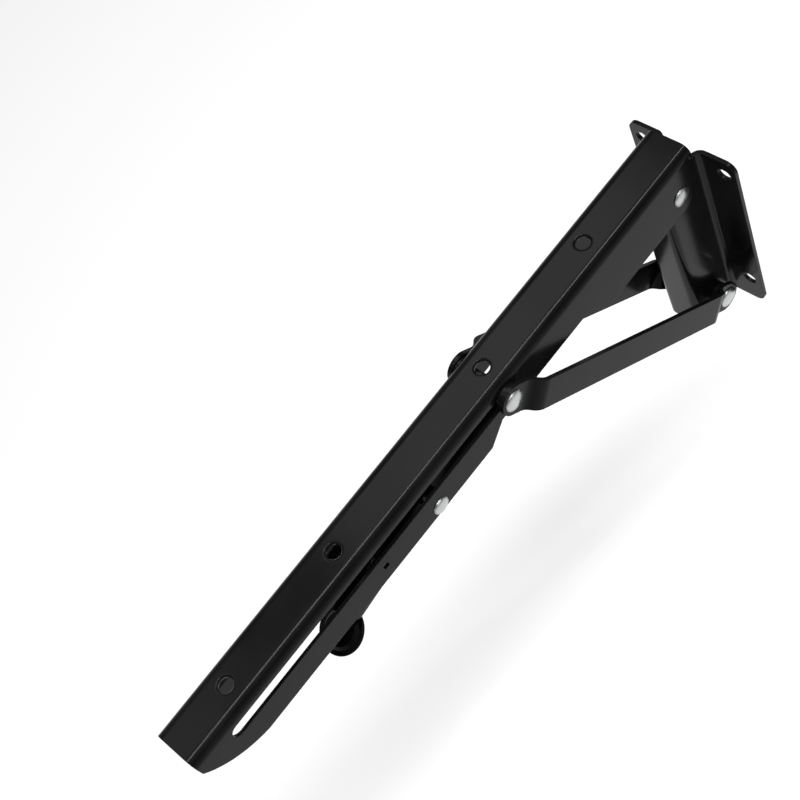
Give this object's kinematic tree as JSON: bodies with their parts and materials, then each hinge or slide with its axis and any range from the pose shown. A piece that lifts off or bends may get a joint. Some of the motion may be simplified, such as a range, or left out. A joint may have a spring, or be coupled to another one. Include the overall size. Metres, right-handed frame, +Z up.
{
  "type": "drop leaf table bracket",
  "caption": "Folding bracket: a slotted channel arm hinged on a wall plate, propped by joggled side struts and released by a sprung thumb lever.",
  "frame": {"origin": "middle of the four wall screw holes, on the plate's wall face", "axes": "+X out of the wall along the open arm, +Y across to the side with the spring's hook hole, +Z up"},
  "size_m": [0.3117, 0.0534, 0.1135],
  "materials": {
    "black_coat": "black powder coat on sheet steel, semi-gloss",
    "zinc": "bright zinc plate on steel rivets",
    "spring_wire": "blackened spring wire"
  },
  "bodies": {
    "wall_bracket": {"wall_plate": "black_coat", "hinge_rivet": "zinc", "strut_rivet": "zinc", "strut_spacer_left": "black_coat", "strut_spacer_right": "black_coat"},
    "arm": {"shelf_arm": "black_coat", "lever_rivet": "zinc", "lever_spring": "spring_wire"},
    "lever": {"release_lever": "black_coat"},
    "sliding_pin": {"slide_pin": "zinc", "pin_washer_left": "black_coat", "pin_washer_right": "black_coat"},
    "struts": {"strut_left": "black_coat", "strut_right": "black_coat", "pin_head_left": "zinc", "pin_head_right": "zinc"}
  },
  "joints": [
    {"name": "arm_fold", "type": "hinge", "parent": "wall_bracket", "child": "arm", "pos_m": [0.018, 0, 0.0384], "axis": [0, 1, 0], "range_deg": [0, 90]},
    {"name": "strut_turn", "type": "hinge", "parent": "wall_bracket", "child": "struts", "pos_m": [0.0118, 0, -0.046], "axis": [0, 1, 0], "range_deg": [0, 122.6]},
    {"name": "pin_slide", "type": "slide", "parent": "arm", "child": "sliding_pin", "axis": [1, 0, 0], "range_m": [0, 0.1228]},
    {"name": "lever_press", "type": "hinge", "parent": "arm", "child": "lever", "pos_m": [0.1777, 0, 0.03465], "axis": [0, -1, 0], "range_deg": [0, 12], "stiffness_Nm_per_rad": 0.15, "springref_deg": -22.92, "deforming": ["lever_spring"]}
  ],
  "couplings": [
    {"joint": "strut_turn", "follows": "arm_fold", "ratio": 1.3609},
    {"joint": "pin_slide", "follows": "arm_fold", "m_per_rad": 0.078111}
  ]
}
